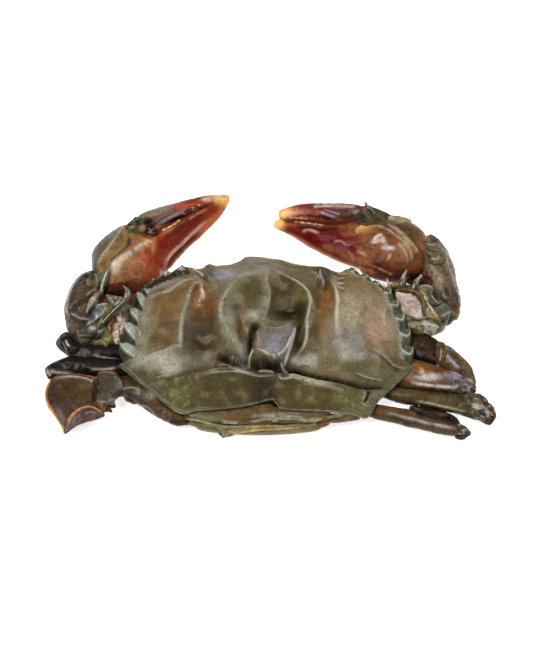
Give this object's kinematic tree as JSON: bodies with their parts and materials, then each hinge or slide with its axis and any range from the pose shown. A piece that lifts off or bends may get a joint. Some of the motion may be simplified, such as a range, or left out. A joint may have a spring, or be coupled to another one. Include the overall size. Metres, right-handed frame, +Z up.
{
  "type": "steamed soft-shell crab",
  "caption": "Whole steamed mud crab lying on its belly: broad slack saw-edged back shell, claws curled in front with orange-red fingers, legs folded, one hind leg ending in a paddle.",
  "frame": {"origin": "middle of the flat tail flap the crab rests on, on the table surface", "axes": "+Y is the way the crab faces, +X is its right side, +Z is up through its back"},
  "size_m": [0.1449, 0.0964, 0.0248],
  "materials": {
    "back_shell": "moist, leathery, olive-brown with paler ridges",
    "belly_shell": "moist, smooth, pale buff",
    "tail_shell": "moist, leathery, ochre-brown",
    "claw_shell": "wet gloss, olive-brown turning orange-brown",
    "finger_shell": "wet gloss, deep red with pale orange tips",
    "arm_shell": "moist, wrinkled, grey-brown",
    "leg_shell": "wet gloss, umber brown",
    "paddle_shell": "moist, dark olive-brown with an orange rim",
    "eye": "gloss black"
  },
  "bodies": {
    "root": {"back_shell": "back_shell", "body": "belly_shell", "tail_band": "tail_shell", "tail_flap": "tail_shell", "left_eye": "eye", "right_eye": "eye", "left_mouth_plate": "belly_shell", "right_mouth_plate": "belly_shell", "left_claw_hand": "claw_shell", "left_claw_finger": "finger_shell", "left_claw_wrist": "arm_shell", "left_claw_arm": "arm_shell", "right_claw_hand": "claw_shell", "right_claw_finger": "finger_shell", "right_claw_wrist": "arm_shell", "right_claw_arm": "arm_shell", "right_leg_1_thigh": "leg_shell", "right_leg_1_shin": "leg_shell", "right_leg_2_thigh": "leg_shell", "right_leg_3_thigh": "leg_shell", "right_leg_3_shin": "leg_shell", "right_leg_4_thigh": "leg_shell", "left_leg_1_thigh": "leg_shell", "left_leg_2_thigh": "leg_shell", "left_leg_3_thigh": "leg_shell", "left_swim_thigh": "leg_shell", "left_swim_wrist": "paddle_shell", "left_swim_blade": "paddle_shell", "left_swim_paddle": "paddle_shell"}
  },
  "joints": []
}
